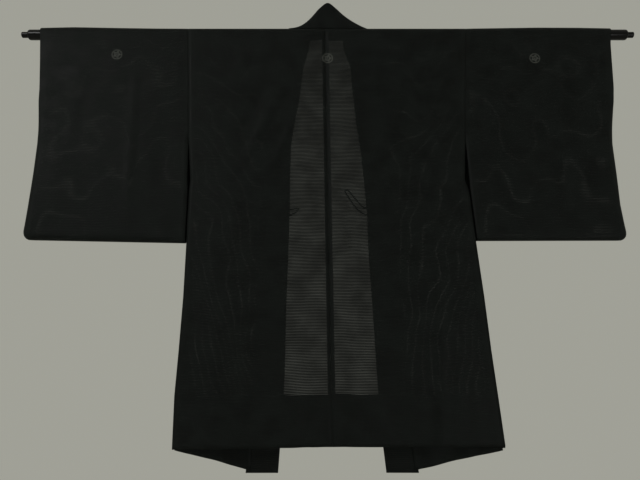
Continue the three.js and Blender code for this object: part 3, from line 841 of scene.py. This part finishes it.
def band_stations():
    """The collar's sections, from its left foot round the neck to its right foot."""
    foot = FREE_EDGE["z"][-1]
    falls = [foot * (1 - i / FRONT_ROWS) for i in range(FRONT_ROWS + 1)]
    left = [front_station("left", z) for z in falls]
    right = [front_station("right", z) for z in reversed(falls)]
    neck = []
    for side, rows in (("left", NECK_BAND[::-1]), ("right", NECK_BAND[1:])):
        sign = SIDES[side]
        which = list(SIDES).index(side)
        for row in rows:
            seam = Vector((sign * row["seam"][0], *row["seam"][1:]))
            edge = Vector((sign * row["out"][which], *row["edge"]))
            neck.append((seam, edge, row["bow"][which]))
    ring = [left[-1], *neck, right[0]]
    steps = 6 * (len(ring) - 1)
    bulges = [station[2] for station in ring]
    curved = []
    for i in range(1, steps):
        share = i / steps
        bulge = float(np.interp(share * (len(ring) - 1), range(len(ring)), bulges))
        seam = curve_through([station[0] for station in ring], share)
        edge = curve_through([station[1] for station in ring], share)
        curved.append((seam, edge, bulge))
    return [*left, *curved, *right]


def collar_grid():
    """The band is one cloth folded along its free edge, so it goes out to it and back."""
    stations = band_stations()
    rows = len(stations) - 1
    columns = 24
    half = columns // 2
    apart = 0.0008

    def place(column, row):
        seam, edge, bulge = stations[row]
        before = stations[max(row - 1, 0)]
        after = stations[min(row + 1, rows)]
        along = (after[0] + after[1] - before[0] - before[1]).normalized()
        across = edge - seam
        outward = along.cross(across).normalized()
        share = 1 - abs(column - half) / half
        round_share = 1 - (1 - share) ** 1.6
        gap = apart * min(1, quarter_round(min((1 - round_share) * 12, 1)))
        which = 1 if column < half else -1
        wave = 0.0005 * noise.noise(Vector((share * 2, row * 0.09, 3.1)))
        bow = 4 * bulge * round_share * (1 - round_share) + wave * share + which * gap
        return seam + across * round_share + outward * bow

    def flat(column, row):
        return 2 * BAND_WIDTH * column / columns, CUTS["collar"][0][1] * row / rows

    return cloth_grid(columns, rows, place, flat)


def rod_mesh():
    """A turned rod: its outline is spun round the X axis."""
    rod = bmesh.new()
    pin_end = ROD_BOX[1].x
    half = pin_end - PIN_LENGTH
    soften = 0.001
    right = [
        (half - ROD_BEVEL, ROD_RADIUS), (half - ROD_BEVEL / 3, ROD_RADIUS - ROD_BEVEL / 6),
        (half, ROD_RADIUS - ROD_BEVEL / 2), (half, PIN_RADIUS), (pin_end - soften, PIN_RADIUS),
        (pin_end, PIN_RADIUS - soften), (pin_end, 0),
    ]
    left = [(-x, radius) for x, radius in reversed(right)]
    bar = [(half * i / 6, ROD_RADIUS) for i in range(-5, 6)]
    points = [rod.verts.new((x, 0, radius)) for x, radius in left + bar + right]
    edges = [rod.edges.new(pair) for pair in zip(points, points[1:])]
    bmesh.ops.spin(
        rod, geom=points + edges, cent=(0, 0, 0), axis=(1, 0, 0), steps=72,
        angle=2 * math.pi, use_merge=True,
    )
    bmesh.ops.remove_doubles(rod, verts=rod.verts, dist=1e-6)
    bmesh.ops.recalc_face_normals(rod, faces=rod.faces)
    return rod


def loop_points(side):
    """A cord that leaves the collar's edge, bends back on itself and returns beside its start."""
    z, reach, rise, spread = LOOPS[side]
    sign = SIDES[side]
    leg = spread / 2
    seam = read(FREE_EDGE, side, z) + sign * BAND_WIDTH
    depth = body_depth(side, seam, z, FRONT_CREASES, 1) + COLLAR_PROUD

    def at(out, up):
        edge = read(FREE_EDGE, side, z + up)
        return Vector((edge - sign * out * reach, depth, z + up))

    turns = [
        at(-0.04, -leg), at(0.15, -leg), at(0.5, rise * 0.25 - leg * 0.8),
        at(0.8, rise * 0.7 - leg * 0.5), at(1, rise), at(0.85, rise + leg * 0.4),
        at(0.5, rise * 0.5 + leg * 0.6), at(0.15, leg), at(-0.04, leg),
    ]
    return [curve_through(turns, i / LOOP_STEPS) for i in range(LOOP_STEPS + 1)]


def stitch_row(places, along, length):
    """Tiny stitches of thread: one bevelled bar at each place, lying along one direction."""
    thread = bmesh.new()
    turn = along.to_track_quat("X", "Z").to_matrix().to_4x4()
    for place in places:
        size = Matrix.Diagonal((length, STITCH_WIDTH, STITCH_WIDTH, 1))
        bmesh.ops.create_cube(thread, size=1, matrix=Matrix.Translation(place) @ turn @ size)
    bmesh.ops.bevel(
        thread, geom=thread.edges, offset=STITCH_WIDTH / 4, segments=1, affect="EDGES",
        profile=0.5, material=-1,
    )
    return thread


def hem_stitches(side, front):
    """Places along the top of the turned-up hem, on the outside."""
    first = NECK_COLUMNS if front else 0
    last = NECK_COLUMNS + PANEL_COLUMNS
    row = BODY_ROWS - FRONT_ROWS * HEM_DEPTH / FRONT_HEM if front else BACK_ROWS * HEM_DEPTH / BACK_HEM
    count = STITCHES_ACROSS * PANEL_COLUMNS // last if front else STITCHES_ACROSS
    columns = [mix(first, last, (i + 0.5) / count) for i in range(count)]
    return [body_point(side, column, row, -STITCH_PROUD) for column in columns]


def collar_stitches(side):
    """Places down the seam that joins the collar to a front."""
    places = []
    for i in range(int(COLLAR_STITCHES_RUN / STITCH_SPACING)):
        seam, edge, _ = front_station(side, COLLAR_STITCHES_TOP - STITCH_SPACING * i)
        places.append(seam + (edge - seam).normalized() * 0.002 + Vector((0, 0.0013, 0)))
    return places


# ---- The add-on ----


class HaoriSizes(bpy.types.PropertyGroup):
    """What a user would change."""

    cloth_thickness: bpy.props.FloatProperty(
        name="Cloth thickness", description="Thickness of one layer of silk",
        default=0.0004, min=0.0001, unit="LENGTH",
    )
    row_spacing: bpy.props.FloatProperty(
        name="Row spacing", description="From one open row of the gauze to the next",
        default=ROW_SPACING, min=0.001, unit="LENGTH",
    )
    row_drift: bpy.props.FloatProperty(
        name="Row drift", description="How far the open rows wander along the cloth",
        default=0.01, unit="LENGTH",
    )
    openness: bpy.props.FloatProperty(
        name="Openness", description="How much an open row shows of what is behind",
        default=0.69, min=0, max=1, subtype="FACTOR",
    )
    silk_colour: bpy.props.FloatVectorProperty(
        name="Silk colour", description="Colour of the black silk",
        default=(0.0058, 0.0074, 0.0068), min=0, max=1, subtype="COLOR",
    )
    crest_colour: bpy.props.FloatVectorProperty(
        name="Crest colour", description="Colour of the pale round emblems",
        default=(0.068, 0.072, 0.065), min=0, max=1, subtype="COLOR",
    )
    crest_radius: bpy.props.FloatProperty(
        name="Crest radius", description="Radius of the round emblems",
        default=0.0122, min=0.002, unit="LENGTH",
    )
    lacquer_colour: bpy.props.FloatVectorProperty(
        name="Lacquer colour", description="Colour of the rod's lacquer",
        default=(0.003, 0.003, 0.003), min=0, max=1, subtype="COLOR",
    )
    backdrop_colour: bpy.props.FloatVectorProperty(
        name="Backdrop colour", description="Colour of the surroundings",
        default=(0.352, 0.352, 0.308), min=0, max=1, subtype="COLOR",
    )


class HAORI_OT_rod(bpy.types.Operator):
    """Make the lacquered rod"""

    bl_idname = "haori.rod"
    bl_label = "Rod"

    def execute(self, context):
        rod = make_piece("hanging_rod", rod_mesh(), lacquer_material(), ["rod"])
        rod.data.set_sharp_from_angle(angle=math.radians(32))
        return {"FINISHED"}


class HAORI_OT_body(bpy.types.Operator):
    """Make the two body halves with their turned-up hems and the centre seam's allowance"""

    bl_idname = "haori.body"
    bl_label = "Body"

    def execute(self, context):
        sizes = context.scene.haori
        silk = silk_material(
            "body gauze silk", sizes.silk_colour, sizes.openness, PANEL_WIDTH - EDGE_TURNING, True,
        )
        inner_silk = silk_material("inner gauze silk", sizes.silk_colour, sizes.openness)
        for side in SIDES:
            grid = body_grid(side)
            turn_outwards(grid, Vector((SIDES[side] * 0.2, -0.015, -0.5)), Vector((0, -1, 0)))
            body = make_piece(f"body_cloth_{side}", grid, silk, [f"body_{side}"])
            give_thickness(body, sizes.cloth_thickness)
            for place in ("back", "front"):
                hem = make_piece(
                    f"hem_{place}_{side}", hem_grid(side, place == "front"), inner_silk,
                )
                give_thickness(hem, sizes.cloth_thickness)
        strip = make_piece("centre_seam_allowance", allowance_grid(), inner_silk)
        give_thickness(strip, sizes.cloth_thickness)
        return {"FINISHED"}


class HAORI_OT_sleeves(bpy.types.Operator):
    """Make the two sleeves"""

    bl_idname = "haori.sleeves"
    bl_label = "Sleeves"

    def execute(self, context):
        sizes = context.scene.haori
        silk = silk_material(
            "sleeve gauze silk", sizes.silk_colour, sizes.openness, PANEL_WIDTH / 2 - EDGE_TURNING, True,
        )
        for side in SIDES:
            grid = sleeve_grid(side)
            turn_outwards(grid, Vector((SIDES[side] * 0.45, -0.015, -0.3)), Vector((0, -1, 0)))
            sleeve = make_piece(f"sleeve_cloth_{side}", grid, silk, [f"sleeve_{side}"])
            give_thickness(sleeve, sizes.cloth_thickness)
        return {"FINISHED"}


class HAORI_OT_gussets(bpy.types.Operator):
    """Make the two side gussets"""

    bl_idname = "haori.gussets"
    bl_label = "Gussets"

    def execute(self, context):
        sizes = context.scene.haori
        silk = silk_material("gusset gauze silk", sizes.silk_colour, sizes.openness)
        for side in SIDES:
            gusset = make_piece(
                f"gusset_cloth_{side}", gusset_grid(side), silk, [f"gusset_{side}"],
            )
            give_thickness(gusset, sizes.cloth_thickness)
        return {"FINISHED"}


class HAORI_OT_collar(bpy.types.Operator):
    """Make the folded collar band"""

    bl_idname = "haori.collar"
    bl_label = "Collar"

    def execute(self, context):
        sizes = context.scene.haori
        darker = [c * 0.85 for c in sizes.silk_colour]
        silk = silk_material("collar gauze silk", darker, 0.6 * sizes.openness)
        collar = make_piece("collar_band", collar_grid(), silk, ["collar"])
        give_thickness(collar, sizes.cloth_thickness)
        return {"FINISHED"}


class HAORI_OT_stitches(bpy.types.Operator):
    """Make the small hand stitches of the hems and the collar"""

    bl_idname = "haori.stitches"
    bl_label = "Stitches"

    def execute(self, context):
        material = cord_material("black silk thread")
        across, down = Vector((1, 0, 0)), Vector((0, 0, 1))
        for side in SIDES:
            rows = {
                f"hem_stitches_back_{side}": (hem_stitches(side, False), across, HEM_STITCH),
                f"hem_stitches_front_{side}": (hem_stitches(side, True), across, HEM_STITCH),
                f"collar_stitches_{side}": (collar_stitches(side), down, COLLAR_STITCH),
            }
            for name, (places, along, length) in rows.items():
                make_piece(name, stitch_row(places, along, length), material)
        return {"FINISHED"}


class HAORI_OT_loops(bpy.types.Operator):
    """Make the two tie loops on the collar"""

    bl_idname = "haori.loops"
    bl_label = "Tie loops"

    def execute(self, context):
        material = cord_material("twisted loop cord")
        for side in SIDES:
            name = f"tie_loop_{side}"
            line = bpy.data.curves.new(name, "CURVE")
            line.dimensions = "3D"
            line.bevel_depth = LOOP_RADIUS
            line.bevel_resolution = 4
            line.use_fill_caps = True
            points = loop_points(side)
            spline = line.splines.new("POLY")
            spline.points.add(len(points) - 1)
            for target, point in zip(spline.points, points):
                target.co = (*point, 1)
            spline.use_smooth = True
            line.materials.append(material)
            loop = bpy.data.objects.new(name, line)
            context.scene.collection.objects.link(loop)
            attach(loop, "root")
            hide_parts(f"loop_{side}")
        return {"FINISHED"}


class HAORI_OT_stage(bpy.types.Operator):
    """Make the floor, the surroundings, the lights and the camera"""

    bl_idname = "haori.stage"
    bl_label = "Stage"

    def execute(self, context):
        sizes = context.scene.haori
        scene = context.scene
        scene.view_settings.view_transform = "Standard"
        disc = bmesh.new()
        bmesh.ops.create_circle(disc, cap_ends=True, segments=96, radius=FLOOR_RADIUS)
        bmesh.ops.translate(disc, verts=disc.verts, vec=(0, 0, FLOOR_HEIGHT))
        mesh = bpy.data.meshes.new("floor")
        disc.to_mesh(mesh)
        disc.free()
        mesh.materials.append(plain_material("floor", FLOOR_COLOUR))
        floor = bpy.data.objects.new("floor", mesh)
        scene.collection.objects.link(floor)
        world = bpy.data.worlds.new("soft surroundings")
        world.use_nodes = True
        world.node_tree.nodes["Background"].inputs["Color"].default_value = (*sizes.backdrop_colour, 1)
        scene.world = world
        for name, (place, size, power) in LIGHTS.items():
            lamp = bpy.data.lights.new(name, "AREA")
            lamp.size = size
            lamp.energy = power
            light = bpy.data.objects.new(name, lamp)
            light.location = place
            aim = Vector(LIGHTS_AIM) - light.location
            light.rotation_euler = aim.to_track_quat("-Z", "Y").to_euler()
            scene.collection.objects.link(light)
        lens = bpy.data.cameras.new("camera")
        lens.lens = LENS
        lens.sensor_width = SENSOR
        camera = bpy.data.objects.new("camera", lens)
        camera.location = CAMERA_PLACE
        camera.rotation_euler = (math.radians(90 + CAMERA_TILT), 0, 0)
        scene.collection.objects.link(camera)
        scene.camera = camera
        return {"FINISHED"}


OPERATORS = (
    HAORI_OT_rod, HAORI_OT_body, HAORI_OT_sleeves, HAORI_OT_gussets, HAORI_OT_collar,
    HAORI_OT_stitches, HAORI_OT_loops, HAORI_OT_stage,
)


class HAORI_PT_panel(bpy.types.Panel):
    """The jacket's sizes and steps"""

    bl_idname = "HAORI_PT_panel"
    bl_label = "Haori"
    bl_space_type = "VIEW_3D"
    bl_region_type = "UI"
    bl_category = "Haori"

    def draw(self, context):
        for name in HaoriSizes.__annotations__:
            self.layout.prop(context.scene.haori, name)
        for operator in OPERATORS:
            self.layout.operator(operator.bl_idname)


CLASSES = (HaoriSizes, *OPERATORS, HAORI_PT_panel)


def register():
    for cls in CLASSES:
        bpy.utils.register_class(cls)
    bpy.types.Scene.haori = bpy.props.PointerProperty(type=HaoriSizes)


def unregister():
    del bpy.types.Scene.haori
    for cls in reversed(CLASSES):
        bpy.utils.unregister_class(cls)


def main():
    register()
    for step in ("rod", "body", "sleeves", "gussets", "collar", "stitches", "loops", "stage"):
        getattr(bpy.ops.haori, step)()


if __name__ == "__main__":
    main()
